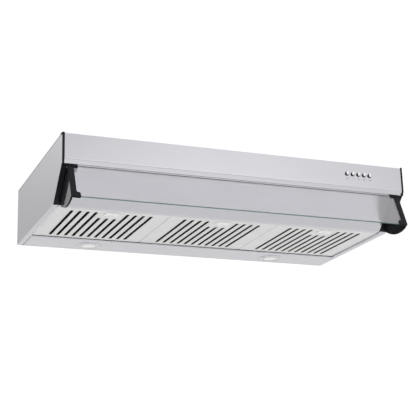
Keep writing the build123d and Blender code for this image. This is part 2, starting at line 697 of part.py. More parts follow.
def lamp_housing():
    """A round cup with a dished bezel that shows below the lamp panel."""
    seat = LAMP_WALL + SHEET
    section = outline(
        (LENS_R, seat),
        (LENS_R, 0),
        (LAMP_R, -BEZEL / 3),
        (LAMP_R + BEZEL, -BEZEL),
        (BEZEL_R - BEZEL, -BEZEL),
        (BEZEL_R, -BEZEL / 3),
        (BEZEL_R, 0),
        (LAMP_R, 0),
        (LAMP_R, LAMP_HEIGHT),
        (0, LAMP_HEIGHT),
        (0, LAMP_HEIGHT - LAMP_WALL),
        (LAMP_R - LAMP_WALL, LAMP_HEIGHT - LAMP_WALL),
        (LAMP_R - LAMP_WALL, seat),
    )
    return Pos(0, LAMP_Y, 0) * revolve(Plane.XZ * section, Axis.Z)


def lamp_lens():
    """The frosted cover, slightly domed below."""
    lens = rod((0, LAMP_Y, -BEZEL), (0, 0, 1), LENS_R, 2 * BEZEL)
    return fillet(lens.edges().filter_by(GeomType.CIRCLE).sort_by(Axis.Z)[0], BEZEL * 0.8)


def lamp_board():
    """The round board with its ring of light-emitting chips."""
    base = LAMP_HEIGHT / 2
    board = rod((0, LAMP_Y, base), (0, 0, 1), LAMP_R - LAMP_WALL, LAMP_WALL)
    chip = Pos(LENS_R / 2, 0, base - SHEET / 2) * Box(CHIP, CHIP, SHEET)
    spots = [Pos(0, LAMP_Y, 0) * Rot(0, 0, 360 / CHIP_COUNT * k) for k in range(CHIP_COUNT)]
    return board + [spot * chip for spot in spots]


# ---------------------------------------------------------------- controls

def button_places():
    return [BUTTON_FIRST_X + k * BUTTON_PITCH for k in range(BUTTON_COUNT)]


def button():
    """A round push button with its stem, at x = 0."""
    cap = rod((0, -BUTTON_PROUD, BUTTON_Z), (0, 1, 0), BUTTON_R, BUTTON_PROUD + BUTTON_SKIRT)
    cap = fillet(cap.edges().filter_by(GeomType.CIRCLE).sort_by(Axis.Y)[0], BUTTON_EDGE)
    return cap + rod((0, BUTTON_SKIRT, BUTTON_Z), (0, 1, 0), STEM_R, STEM_LENGTH)


def switch_bank():
    """The block of switches behind the fascia, with a pocket and a stem bore for each button."""
    margin = BUTTON_PITCH * 0.6
    x = (BUTTON_FIRST_X - margin, BUTTON_FIRST_X + (BUTTON_COUNT - 1) * BUTTON_PITCH + margin)
    pocket_end = BUTTON_SKIRT + BUTTON_TRAVEL + SWING_GAP
    stem_end = BUTTON_SKIRT + STEM_LENGTH + BUTTON_TRAVEL + SWING_GAP
    z = (BUTTON_Z - BANK_HALF_HEIGHT, BUTTON_Z + BANK_HALF_HEIGHT)
    bank = block(x, (SHEET, stem_end + BANK_BACK), z)
    for place in button_places():
        bank -= rod((place, 0, BUTTON_Z), (0, 1, 0), BUTTON_R + GAP, pocket_end)
        bank -= rod((place, 0, BUTTON_Z), (0, 1, 0), STEM_R + RUNNING_FIT, stem_end)
    return bank


# ---------------------------------------------------------------- blowers

def scroll_section():
    """The inside of the left scroll: three growing quarter turns, then a duct to the outlet box."""
    r, s = SCROLL_R, SCROLL_STEP
    reach = BLOWER_X - BOX_HALF_WIDTH
    tongue = (r * cos(radians(TONGUE_ANGLE)), TONGUE_Y)
    edges = [
        CenterArc((0, 0), r, TONGUE_ANGLE, -TONGUE_ANGLE - 90),
        CenterArc((0, s), r + s, -90, -90),
        CenterArc((s, s), r + 2 * s, 180, -90),
        Line((s, SCROLL_OUT), (reach, SCROLL_OUT)),
        Line((reach, SCROLL_OUT), (reach, TONGUE_Y)),
        Line((reach, TONGUE_Y), tongue),
    ]
    return make_face(edges)


def scroll_case(z_from, z_to, roof):
    """Half of the left scroll case between two heights, closed above (roof) or below."""
    inside = scroll_section()
    outside = offset(inside, SCROLL_WALL)
    shell = along_z(outside, z_from, z_to)
    cavity_from = z_from if roof else z_from + SCROLL_WALL
    cavity_to = z_to - SCROLL_WALL if roof else z_to
    shell -= along_z(inside, cavity_from, cavity_to)
    reach = BLOWER_X - BOX_HALF_WIDTH
    beyond = (reach, reach + 3 * SCROLL_WALL)
    shell -= block(beyond, (-BLOWER_Y, BLOWER_Y), (z_from - 1, z_to + 1))
    mouth = block((reach - 1, reach + 1), (TONGUE_Y, SCROLL_OUT), (cavity_from, cavity_to))
    return shell - mouth


def at_left_blower(shape):
    return Pos(-BLOWER_X, BLOWER_Y, 0) * shape


def ear_places():
    """Where the left scroll hangs from the top panel, about its impeller's axis."""
    reach = SCROLL_R + SCROLL_STEP + EAR_R + SCROLL_WALL
    return [(reach * cos(radians(a)), reach * sin(radians(a))) for a in (-45, -135, 160)]


def blower_screws():
    """The screws that hang both scroll cases from the top panel."""
    screws = []
    for x, y in ear_places():
        for side in (-1, 1):
            screws.append(screw(side * (BLOWER_X - x), BLOWER_Y + y, HEIGHT, EAR_HEIGHT))
    return screws


def left_scroll_upper():
    """The upper half of the case, with its ears and the hole for the motor's top."""
    shell = scroll_case(SCROLL_SPLIT, UNDER_TOP, roof=True)
    solid = along_z(offset(scroll_section(), SCROLL_WALL / 2), SCROLL_SPLIT, UNDER_TOP)
    for x, y in ear_places():
        ear = rod((x, y, UNDER_TOP - EAR_HEIGHT), (0, 0, 1), EAR_R, EAR_HEIGHT)
        inwards = Pos(x, y, UNDER_TOP - EAR_HEIGHT / 2) * Rot(0, 0, degrees(atan2(y, x)))
        neck = inwards * Pos(-EAR_R, 0, 0) * Box(2 * EAR_R, 1.2 * EAR_R, EAR_HEIGHT)
        shell += (ear + neck) - solid
    shell = at_left_blower(shell)
    for fastener in blower_screws():
        shell -= fastener
    return shell


def left_scroll_lower():
    """The lower half of the case, with the rounded inlet ring."""
    shell = scroll_case(SCROLL_BASE, SCROLL_SPLIT, roof=False)
    ring = rod((0, 0, SCROLL_BASE), (0, 0, 1), INLET_R + SCROLL_WALL, 3 * SCROLL_WALL)
    shell += ring
    shell -= rod((0, 0, SCROLL_BASE - 1), (0, 0, 1), INLET_R, 5 * SCROLL_WALL)
    return at_left_blower(shell)


def left_impeller():
    """A forward-curved wheel: a cup over the motor, a top plate, blades and a bottom ring."""
    base, top = IMPELLER_BASE, IMPELLER_BASE + IMPELLER_HEIGHT
    wheel = rod((0, 0, base), (0, 0, 1), CUP_R, IMPELLER_HEIGHT)
    wheel -= rod((0, 0, base + SCROLL_WALL), (0, 0, 1), CUP_R - SCROLL_WALL, IMPELLER_HEIGHT)
    wheel += rod((0, 0, base), (0, 0, 1), HUB_R, MOTOR_BASE - base - 4)
    plate = rod((0, 0, top - SCROLL_WALL), (0, 0, 1), IMPELLER_R, SCROLL_WALL)
    plate -= rod((0, 0, base), (0, 0, 1), CUP_R - SCROLL_WALL, IMPELLER_HEIGHT)
    ring = rod((0, 0, base), (0, 0, 1), IMPELLER_R, SCROLL_WALL)
    ring -= rod((0, 0, base), (0, 0, 1), IMPELLER_R - BLADE_LENGTH * cos(radians(BLADE_ANGLE)), SCROLL_WALL)
    blade = Pos(-BLADE_LENGTH / 2, 0, 0) * Rectangle(BLADE_LENGTH, BLADE)
    blade = Pos(IMPELLER_R - BLADE_INSET, 0, 0) * Rot(0, 0, BLADE_ANGLE) * blade
    blade = along_z(blade, base, top)
    blades = [Rot(0, 0, 360 / BLADE_COUNT * k) * blade for k in range(BLADE_COUNT)]
    wheel = wheel + plate + ring + blades
    wheel -= rod((0, 0, base - 1), (0, 0, 1), SHAFT_R, IMPELLER_HEIGHT)
    return at_left_blower(wheel)


def left_shaft():
    """The motor's shaft, fixed in the impeller's hub."""
    top = MOTOR_BASE + SHAFT_IN_MOTOR
    return at_left_blower(rod((0, 0, IMPELLER_BASE), (0, 0, 1), SHAFT_R, top - IMPELLER_BASE))


def left_motor():
    """The motor, hung from the roof of the scroll case inside the impeller's cup."""
    height = UNDER_TOP - SCROLL_WALL - MOTOR_BASE
    body = rod((0, 0, MOTOR_BASE), (0, 0, 1), MOTOR_R, height)
    body = fillet(body.edges().filter_by(GeomType.CIRCLE).sort_by(Axis.Z)[0], MOTOR_EDGE)
    bore_depth = SHAFT_IN_MOTOR + SHEET + GAP
    body -= rod((0, 0, MOTOR_BASE - SHEET), (0, 0, 1), SHAFT_R + RUNNING_FIT, bore_depth + SHEET)
    return at_left_blower(body)


def outlet_box():
    """The closed box under the collar that both scroll cases blow into."""
    x = (-BOX_HALF_WIDTH, BOX_HALF_WIDTH)
    y = (DUCT_Y - BOX_HALF_DEPTH, DUCT_Y + BOX_HALF_DEPTH)
    wall = SCROLL_WALL
    box = fillet(block(x, y, (SCROLL_BASE, UNDER_TOP)).edges().filter_by(Axis.Z), 6)
    box -= block(
        (x[0] + wall, x[1] - wall), (y[0] + wall, y[1] - wall), (SCROLL_BASE + wall, HEIGHT)
    )
    duct_y = (BLOWER_Y + TONGUE_Y, BLOWER_Y + SCROLL_OUT)
    return box - block((x[0] - 1, x[1] + 1), duct_y, (SCROLL_BASE + wall, UNDER_TOP - wall))


def duct_collar():
    """The round collar that the duct is pushed over, with its flange and the flaps' stop ring."""
    spigot = rod((0, DUCT_Y, HEIGHT), (0, 0, 1), DUCT_R, COLLAR_HEIGHT)
    flange = rod((0, DUCT_Y, HEIGHT), (0, 0, 1), DUCT_R + COLLAR_FLANGE, SHEET)
    bore = DUCT_R - COLLAR_WALL
    collar = spigot + flange - rod((0, DUCT_Y, HEIGHT - 1), (0, 0, 1), bore, COLLAR_HEIGHT + 2)
    stop_z = SPINDLE_Z - KNUCKLE_R - STOP_DROP
    stop = rod((0, DUCT_Y, stop_z), (0, 0, 1), bore + COLLAR_WALL / 2, COLLAR_WALL)
    stop -= rod((0, DUCT_Y, HEIGHT), (0, 0, 1), bore - STOP_DEPTH, COLLAR_HEIGHT)
    collar += stop
    collar -= spindle()
    for fastener in collar_screws():
        collar -= fastener
    return collar


def collar_screws():
    reach = DUCT_R + COLLAR_FLANGE - SCREW_HEAD_R - COLLAR_WALL
    spots = [(reach * cos(radians(a)), reach * sin(radians(a))) for a in (45, 135, 225, 315)]
    return [screw(x, DUCT_Y + y, HEIGHT + SHEET, COLLAR_SCREW_LENGTH) for x, y in spots]


def spindle():
    """The fixed rod across the collar that both flaps turn on."""
    reach = DUCT_R - GAP
    return rod((0, DUCT_Y - reach, SPINDLE_Z), (0, 1, 0), SPINDLE_R, 2 * reach)


def left_flap():
    """A half-round damper flap with two knuckles, lying shut."""
    radius = DUCT_R - COLLAR_WALL - FLAP_GAP
    flap = rod((0, DUCT_Y, SPINDLE_Z - FLAP / 2), (0, 0, 1), radius, FLAP)
    flap &= block((-DUCT_R, -KNUCKLE_R - SWING_GAP), (0, DEPTH), (HEIGHT, HEIGHT + COLLAR_HEIGHT))
    for y in KNUCKLE_STARTS:
        start = DUCT_Y + y
        flap += rod((0, start, SPINDLE_Z), (0, 1, 0), KNUCKLE_R, KNUCKLE_LENGTH)
        web = (SPINDLE_Z - FLAP / 2, SPINDLE_Z + FLAP / 2)
        flap += block((-KNUCKLE_R - KNUCKLE_WEB, 0), (start, start + KNUCKLE_LENGTH), web)
    bore = rod((0, 0, SPINDLE_Z), (0, 1, 0), SPINDLE_R + RUNNING_FIT, DEPTH)
    return flap - bore


def right_flap():
    """The left flap turned half round about the collar's axis, so that the knuckles interleave."""
    return left_flap().rotate(Axis((0, DUCT_Y, 0), (0, 0, 1)), 180)


# ---------------------------------------------------------------- electrics

def terminal_box():
    """The open-topped box under the top panel that holds the terminals."""
    x, y, z = terminal_limits()
    wall = SCROLL_WALL
    box = fillet(block(x, y, z).edges().filter_by(Axis.Z), 3)
    return box - block((x[0] + wall, x[1] - wall), (y[0] + wall, y[1] - wall), (z[0] - 1, z[1] - wall))


def terminal_limits():
    width, depth, height = TERMINAL_BOX
    x = (TERMINAL_X - width / 2, TERMINAL_X + width / 2)
    y = (TERMINAL_Y - depth / 2, TERMINAL_Y + depth / 2)
    return x, y, (UNDER_TOP - height, UNDER_TOP)


def terminal_cover():
    """The cover that closes the terminal box from below."""
    x, y, z = terminal_limits()
    cover = fillet(block(x, y, (z[0] - SCROLL_WALL, z[0])).edges().filter_by(Axis.Z), 3)
    rim = block(
        (x[0] + SCROLL_WALL, x[1] - SCROLL_WALL),
        (y[0] + SCROLL_WALL, y[1] - SCROLL_WALL),
        (z[0], z[0] + SCROLL_WALL),
    )
    return cover + rim


def run_capacitor():
    """The motors' capacitor, lying in the terminal box."""
    x, y, z = terminal_limits()
    start = (TERMINAL_X - CAPACITOR_LENGTH / 2, TERMINAL_Y, z[1] - SCROLL_WALL - CAPACITOR_R)
    can = rod(start, (1, 0, 0), CAPACITOR_R, CAPACITOR_LENGTH)
    return chamfer(can.edges().filter_by(GeomType.CIRCLE), 1)


def cable_gland():
    """The gland through the top panel, with a hexagonal nut above and below."""
    base, length = HEIGHT - GLAND_BELOW, GLAND_BELOW + GLAND_ABOVE
    body = rod((GLAND_X, GLAND_Y, base), (0, 0, 1), GLAND_R, length)
    for z in (UNDER_TOP - NUT, HEIGHT):
        body += Pos(GLAND_X, GLAND_Y, z) * extrude(RegularPolygon(GLAND_R + NUT_MARGIN, 6), NUT)
    body = fillet(body.edges().filter_by(GeomType.CIRCLE).sort_by(Axis.Z)[-1], FOLD)
    return body - rod((GLAND_X, GLAND_Y, base - 1), (0, 0, 1), GLAND_BORE_R, length + 2)


# ---------------------------------------------------------------- all pieces

def build():
    os.makedirs("parts", exist_ok=True)
    write("front_fascia", front_fascia())
    write("lower_front_panel", lower_front_panel())
    write("top_panel", top_panel())
    write("back_panel", back_panel())
    write("lamp_panel", lamp_panel())
    write("visor_glass", visor_glass())
    write("pivot_pins", pivot_pins())
    twins = {
        "side_panel": left_side_panel,
        "end_cap": left_end_cap,
        "visor_arm": left_visor_arm,
        "scroll_upper": left_scroll_upper,
        "scroll_lower": left_scroll_lower,
        "impeller": left_impeller,
        "motor_shaft": left_shaft,
        "motor": left_motor,
    }
    for name, make in twins.items():
        piece = make()
        write(f"left_{name}", piece)
        write(f"right_{name}", mirrored(piece))
    pieces = {
        "filter_panel": filter_panel(),
        "filter_mesh": filter_mesh(),
        "latch_case": latch_case(),
        "latch_slide": latch_slide(),
    }
    for side, x in zip(("left", "middle", "right"), filter_places()):
        for name, piece in pieces.items():
            write(f"{side}_{name}", Pos(x, 0, 0) * piece)
    for side, x in zip(("left", "right"), lamp_places()):
        write(f"{side}_lamp_housing", Pos(x, 0, 0) * lamp_housing())
        write(f"{side}_lamp_lens", Pos(x, 0, 0) * lamp_lens())
        write(f"{side}_lamp_board", Pos(x, 0, 0) * lamp_board())
    names = ("off", "speed_1", "speed_2", "speed_3", "light")
    for name, x in zip(names, button_places()):
        write(f"{name}_button", Pos(x, 0, 0) * button())
    write("switch_bank", switch_bank())
    write("outlet_box", outlet_box())
    write("duct_collar", duct_collar())
    write("damper_spindle", spindle())
    write("left_flap", left_flap())
    write("right_flap", right_flap())
    write("terminal_box", terminal_box())
    write("terminal_cover", terminal_cover())
    write("run_capacitor", run_capacitor())
    write("cable_gland", cable_gland())
    write("case_screws", Part() + top_screws() + blower_screws() + collar_screws())


build()
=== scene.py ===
import json
import math

import bpy
from mathutils import Matrix, Vector


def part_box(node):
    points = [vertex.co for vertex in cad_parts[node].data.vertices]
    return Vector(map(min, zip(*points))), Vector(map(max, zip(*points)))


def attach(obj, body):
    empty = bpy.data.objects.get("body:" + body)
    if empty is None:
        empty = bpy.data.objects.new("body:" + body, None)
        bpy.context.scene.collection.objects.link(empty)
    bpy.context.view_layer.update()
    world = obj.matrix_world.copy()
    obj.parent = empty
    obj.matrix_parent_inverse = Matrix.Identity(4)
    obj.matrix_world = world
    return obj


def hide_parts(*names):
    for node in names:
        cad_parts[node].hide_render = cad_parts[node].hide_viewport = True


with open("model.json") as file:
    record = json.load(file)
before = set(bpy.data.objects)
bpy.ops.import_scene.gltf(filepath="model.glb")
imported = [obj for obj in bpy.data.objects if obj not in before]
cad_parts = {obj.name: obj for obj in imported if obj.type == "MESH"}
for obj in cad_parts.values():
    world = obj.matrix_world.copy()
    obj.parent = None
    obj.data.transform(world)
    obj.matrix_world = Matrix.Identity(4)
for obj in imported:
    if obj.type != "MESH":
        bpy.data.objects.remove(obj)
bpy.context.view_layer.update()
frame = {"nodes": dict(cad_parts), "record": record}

# The looks of an under-cabinet range hood: its materials, its small details, the studio and the
# camera. Lengths are in metres, in the hood's own frame: +X to its right, +Y back to the wall,
# +Z up into the cabinet, and the origin in the middle of the top.

MM = 0.001

# ---- colours, linear ----
STEEL = (0.655, 0.648, 0.685)
ZINC = (0.56, 0.57, 0.59)
BLACK = (0.010, 0.010, 0.013)
CHARCOAL = (0.045, 0.045, 0.05)
FILTER_GREY = (0.83, 0.83, 0.825)
WHITE = (0.82, 0.82, 0.81)
LATCH_WHITE = (0.96, 0.96, 0.955)
GLASS_TINT = (0.745, 0.738, 0.775)
GLASS_EDGE = (0.11, 0.24, 0.20)
CHROME = (0.80, 0.80, 0.82)
SOLDER_MASK = ((0.70, 0.70, 0.68), (0.80, 0.80, 0.78))
CHIP_YELLOW = (0.78, 0.66, 0.25)
CAN_WHITE = (0.72, 0.72, 0.70)
BAND_GREY = (0.25, 0.27, 0.30)
PRINT_GREY = ((0.05, 0.05, 0.055), (0.09, 0.09, 0.095))
FLOOR_PALE = ((0.84, 0.84, 0.84), (0.87, 0.87, 0.87))

# ---- scales of the textures, in features to a metre ----
BRUSH_ALONG = 14.0
BRUSH_ACROSS = 2600.0
SPANGLE = 110.0               # the crystals of galvanised sheet
FINE_GRAIN = 2400.0           # the texture of moulded plastic
PAINT_PEEL = 700.0

# ---- places in the materials ----
FLAT_SIDE = 0.9               # an arm's outer side has a normal nearer to X than this
GLASS_FACE = 0.85             # the glass's faces have a normal nearer to Y than this
LENS_RIM = (0.013, 0.019)     # where a lens starts and ends to darken, from its middle
LENS_RING = 1.6 * MM          # pitch of the lens's moulded rings
BOARD_CHIPS = 0.9 * MM        # height of the lamp board's chips
CAN_BAND = 0.2                # the capacitor's band, as a share of its length
BUTTON_CAP = 0.6 * MM         # depth of a button's polished front


# ---------------------------------------------------------------- material graphs

class Graph:
    """A new material with short ways to add and link its nodes. Points are the piece's own."""

    def __init__(self, name, **settings):
        self.material = bpy.data.materials.new(name)
        self.material.use_nodes = True
        self.tree = self.material.node_tree
        self.shader = self.tree.nodes["Principled BSDF"]
        self.points = self.add("ShaderNodeTexCoord").outputs["Object"]
        self.set(**settings)

    def set(self, **settings):
        """Sets or links sockets of the shader: base_color is Base Color, and so on."""
        for name, value in settings.items():
            self.give(self.shader.inputs[name.replace("_", " ").title().replace("Ior", "IOR")], value)

    def give(self, socket, value):
        if isinstance(value, bpy.types.NodeSocket):
            self.tree.links.new(value, socket)
        elif socket.type == "RGBA":
            socket.default_value = (*value, 1)
        else:
            socket.default_value = value

    def add(self, kind, inputs=(), **settings):
        """A node with its settings, and its inputs given as (socket, value) pairs."""
        node = self.tree.nodes.new(kind)
        for name, value in settings.items():
            setattr(node, name, value)
        for name, value in inputs:
            self.give(node.inputs[name], value)
        return node

    def stretched(self, scale):
        """The piece's points, scaled along its axes."""
        return self.add("ShaderNodeMapping", [("Vector", self.points), ("Scale", scale)]).outputs[0]

    def noise(self, scale, detail=3.0, roughness=0.5):
        """Noise with so many features to a metre along each axis."""
        inputs = [("Vector", self.stretched(scale)), ("Scale", 1.0)]
        inputs += [("Detail", detail), ("Roughness", roughness)]
        return self.add("ShaderNodeTexNoise", inputs).outputs["Fac"]

    def spread(self, value, low, high, to_low, to_high):
        """A value between low and high, mapped to between to_low and to_high."""
        inputs = [("Value", value), ("From Min", low), ("From Max", high)]
        inputs += [("To Min", to_low), ("To Max", to_high)]
        return self.add("ShaderNodeMapRange", inputs).outputs[0]

    def tint(self, share, a, b):
        """Colour a where share is 0, and b where it is 1."""
        node = self.add("ShaderNodeMix", data_type="RGBA")
        self.give(node.inputs[0], share)
        self.give(node.inputs[6], a)
        self.give(node.inputs[7], b)
        return node.outputs[2]

    def math(self, operation, a, b=0.0):
        return self.add("ShaderNodeMath", [(0, a), (1, b)], operation=operation).outputs[0]

    def axis(self, name):
        """One coordinate of the piece's points."""
        return self.add("ShaderNodeSeparateXYZ", [("Vector", self.points)]).outputs[name]

    def bump(self, height, depth, strength=1.0):
        """A bump of the given depth in metres where height goes from 0 to 1."""
        inputs = [("Height", height), ("Distance", depth), ("Strength", strength)]
        self.set(normal=self.add("ShaderNodeBump", inputs).outputs[0])


def darker(colour, share):
    return tuple(c * share for c in colour)


# ---------------------------------------------------------------- materials

def brushed_steel(name, grain):
    """Satin stainless sheet, brushed along X or Y."""
    g = Graph(name, metallic=1.0)
    scale = (BRUSH_ALONG, BRUSH_ACROSS, BRUSH_ACROSS)
    if grain == "Y":
        scale = (BRUSH_ACROSS, BRUSH_ALONG, BRUSH_ACROSS)
    lines = g.noise(scale, 2.0, 0.6)
    broad = g.noise((3.0, 3.0, 3.0), 2.0)
    g.set(base_color=g.tint(g.spread(broad, 0.3, 0.7, 0, 1), darker(STEEL, 0.965), STEEL))
    g.set(roughness=g.spread(lines, 0.3, 0.7, 0.17, 0.25))
    g.bump(lines, 0.003 * MM, 0.4)
    return g.material


def zinc_sheet():
    """Galvanised sheet, with its faint crystals."""
    g = Graph("zinc_sheet", metallic=1.0)
    spangle = g.add("ShaderNodeTexVoronoi", [("Vector", g.points), ("Scale", SPANGLE)]).outputs["Color"]
    shade = g.add("ShaderNodeSeparateColor", [("Color", spangle)]).outputs[0]
    g.set(base_color=g.tint(shade, darker(ZINC, 0.86), ZINC))
    g.set(roughness=g.spread(shade, 0, 1, 0.34, 0.48))
    g.bump(g.noise((500.0, 500.0, 500.0)), 0.01 * MM, 0.4)
    return g.material


def moulded(name, colour, gloss, grain=0.03, lighter=1.5, shine=0.5):
    """Moulded plastic: a fine texture, with faint variation in colour and gloss."""
    g = Graph(name, specular_ior_level=shine)
    cloud = g.noise((22.0, 22.0, 22.0), 4.0)
    fine = g.noise((FINE_GRAIN,) * 3, 2.0)
    g.set(base_color=g.tint(g.spread(cloud, 0.35, 0.7, 0, 1), colour, darker(colour, lighter)))
    g.set(roughness=g.spread(fine, 0.3, 0.7, gloss - 0.05, gloss + 0.06))
    g.bump(fine, grain * MM, 0.35)
    return g.material


def arm_plastic():
    """The visor arms' black plastic: a fine texture, with a lacquer on the outer flat sides."""
    g = Graph("arm_plastic", base_color=BLACK, specular_ior_level=0.07, coat_roughness=0.05, coat_ior=1.6)
    normal = g.add("ShaderNodeTexCoord").outputs["Normal"]
    sideways = g.add("ShaderNodeSeparateXYZ", [("Vector", normal)]).outputs["X"]
    outward = g.math("MULTIPLY", sideways, g.math("SIGN", g.axis("X")))
    g.set(coat_weight=g.math("GREATER_THAN", outward, FLAT_SIDE))
    fine = g.noise((FINE_GRAIN,) * 3, 2.0)
    g.set(roughness=g.spread(fine, 0.3, 0.7, 0.36, 0.46))
    g.bump(fine, 0.006 * MM, 0.3)
    return g.material


def visor_glass():
    """Lightly tinted glass with a faint haze, green at its lower ground edge."""
    g = Graph("visor_glass", ior=1.5)
    normal = g.add("ShaderNodeTexCoord").outputs["Normal"]
    upright = g.add("ShaderNodeSeparateXYZ", [("Vector", normal)])
    facing = g.math("ABSOLUTE", upright.outputs["Y"])
    edge = g.math("LESS_THAN", facing, GLASS_FACE)
    smear = g.noise((9.0, 9.0, 30.0), 4.0)
    face = g.tint(g.spread(smear, 0.3, 0.7, 0, 1), GLASS_TINT, darker(GLASS_TINT, 0.97))
    middle = (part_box("visor_glass")[0].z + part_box("visor_glass")[1].z) / 2
    upper = g.math("GREATER_THAN", g.axis("Z"), middle)
    g.set(base_color=g.tint(edge, face, g.tint(upper, GLASS_EDGE, darker(WHITE, 0.7))))
    g.set(transmission_weight=g.spread(edge, 0, 1, 0.84, 0.25))
    g.set(roughness=g.spread(smear, 0.3, 0.7, 0.02, 0.05))
    return g.material


def filter_paint():
    """Light grey satin paint over pressed metal."""
    g = Graph("filter_paint", coat_weight=0.15, coat_roughness=0.3)
    peel = g.noise((PAINT_PEEL,) * 3, 2.0)
    cloud = g.noise((30.0, 30.0, 30.0), 3.0)
    g.set(base_color=g.tint(g.spread(cloud, 0.3, 0.7, 0, 1), darker(FILTER_GREY, 0.96), FILTER_GREY))
    g.set(roughness=g.spread(peel, 0.3, 0.7, 0.38, 0.5))
    g.bump(peel, 0.03 * MM, 0.3)
    return g.material


def bare_metal(name, colour, gloss, scratch_scale=(600.0, 600.0, 60.0)):
    """Turned or plated metal with fine scratches."""
    g = Graph(name, metallic=1.0)
    scratches = g.noise(scratch_scale, 4.0, 0.6)
    g.set(base_color=g.tint(g.spread(scratches, 0.3, 0.7, 0, 1), darker(colour, 0.93), colour))
    g.set(roughness=g.spread(scratches, 0.3, 0.7, gloss, gloss + 0.1))
    g.bump(scratches, 0.006 * MM, 0.3)
    return g.material


def lamp_lens(node):
    """A frosted cover with fine moulded rings about its own middle. Its faint white glow is a painted
    highlight: the lamp is off, and the glow stands in for the light the lens catches.
    """
    # emission_strength here is a painted highlight on the unlit lens, not the lamp switched on
    g = Graph(f"{node}_frosted", ior=1.49, roughness=0.22, emission_strength=0.12)
    low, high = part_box(node)
    offset = g.add("ShaderNodeVectorMath", [(0, g.points), (1, (low + high) / 2)], operation="SUBTRACT")
    flat = g.add("ShaderNodeVectorMath", [(0, offset.outputs[0]), (1, (1.0, 1.0, 0.0))], operation="MULTIPLY")
    reach = g.add("ShaderNodeVectorMath", [(0, flat.outputs[0])], operation="LENGTH").outputs["Value"]
    ring = g.math("SINE", g.math("MULTIPLY", reach, 2 * math.pi / LENS_RING))
    rim = g.spread(reach, *LENS_RIM, 0, 1)
    g.set(base_color=g.tint(rim, WHITE, darker(WHITE, 0.8)), emission_color=(1.0, 1.0, 1.0))
    g.bump(ring, 0.06 * MM, 0.5)
    return g.material


def lamp_board():
    """White solder mask, with pale yellow chips standing on it."""
    g = Graph("lamp_board", roughness=0.45)
    chip = g.math("LESS_THAN", g.axis("Z"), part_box("left_lamp_board")[0].z + BOARD_CHIPS)
    speckle = g.noise((900.0, 900.0, 900.0))
    g.set(base_color=g.tint(chip, g.tint(speckle, *SOLDER_MASK), CHIP_YELLOW))
    g.bump(speckle, 0.02 * MM, 0.3)
    return g.material


def button_finish():
    """A polished front on a black body."""
    g = Graph("button_finish", specular_ior_level=0.2)
    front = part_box("off_button")[0].y
    body = g.math("GREATER_THAN", g.axis("Y"), front + BUTTON_CAP)
    scuff = g.noise((900.0, 900.0, 900.0), 3.0)
    g.set(base_color=g.tint(body, CHROME, BLACK))
    g.set(metallic=g.math("SUBTRACT", 1.0, body))
    g.set(roughness=g.math("ADD", g.spread(scuff, 0.3, 0.7, 0.06, 0.14), g.math("MULTIPLY", body, 0.25)))
    return g.material


def capacitor_can():
    """A white plastic can with a plain grey band."""
    g = Graph("capacitor_can")
    low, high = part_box("run_capacitor")
    band = g.math("GREATER_THAN", g.axis("X"), high.x - (high.x - low.x) * CAN_BAND)
    cloud = g.noise((60.0, 60.0, 60.0))
    g.set(base_color=g.tint(band, g.tint(cloud, CAN_WHITE, WHITE), BAND_GREY))
    g.set(roughness=g.spread(cloud, 0.3, 0.7, 0.3, 0.42))
    return g.material


def printed_grey():
    """The grey print of the marks below the buttons, slightly broken up."""
    g = Graph("printed_grey", roughness=0.55)
    wear = g.noise((3000.0, 3000.0, 3000.0), 3.0)
    g.set(base_color=g.tint(g.spread(wear, 0.35, 0.6, 0, 1), *PRINT_GREY))
    return g.material


def make_materials():
    """A material for each of the record's slots."""
    return {
        "brushed_steel": brushed_steel("brushed_steel_x", "X"),
        "steel_back": zinc_sheet(),
        "black_plastic": moulded("black_plastic", BLACK, 0.26, grain=0.006, shine=0.16),
        "glass": visor_glass(),
        "pin_steel": bare_metal("pin_steel", (0.58, 0.58, 0.58), 0.18),
        "filter_paint": filter_paint(),
        # the mesh's near-black colour is painted shade: real aluminium mesh is mid-grey, and this darkens the
        # filters' slots as the shade inside them would
        "mesh": bare_metal("mesh_dark_painted_shade", (0.06, 0.06, 0.06), 0.35),
        "latch_plastic": moulded("latch_plastic", LATCH_WHITE, 0.3, grain=0.01, lighter=0.98),
        "lamp_metal": bare_metal("lamp_metal", (0.72, 0.72, 0.74), 0.22),
        "circuit_board": lamp_board(),
        "button_chrome": button_finish(),
        "switch_plastic": moulded("switch_plastic", CHARCOAL, 0.5),
        "blower_plastic": moulded("blower_plastic", (0.055, 0.055, 0.06), 0.5),
        "impeller_plastic": moulded("impeller_plastic", (0.42, 0.42, 0.43), 0.45, lighter=1.1),
        "motor_metal": bare_metal("motor_metal", (0.30, 0.30, 0.31), 0.35),
        "collar_plastic": moulded("collar_plastic", (0.03, 0.03, 0.033), 0.42),
        "capacitor": capacitor_can(),
        "screw_zinc": bare_metal("screw_zinc", (0.60, 0.60, 0.57), 0.2),
    }


def dress_nodes():
    """Gives every CAD node its material: by slot, save the side panels, the arms and the lenses."""
    materials = make_materials()
    by_node = {
        "left_side_panel": brushed_steel("brushed_steel_y", "Y"),
        "left_lamp_lens": lamp_lens("left_lamp_lens"),
        "right_lamp_lens": lamp_lens("right_lamp_lens"),
        "left_visor_arm": arm_plastic(),
    }
    by_node["right_side_panel"] = by_node["left_side_panel"]
    by_node["right_visor_arm"] = by_node["left_visor_arm"]
    for entry in frame["record"]["subparts"]:
        node = entry["node"]
        material = by_node.get(node) or materials[entry["material_slot"]]
        for place in frame["nodes"][node].material_slots:
            place.material = material
    return materials


# ---------------------------------------------------------------- built pieces

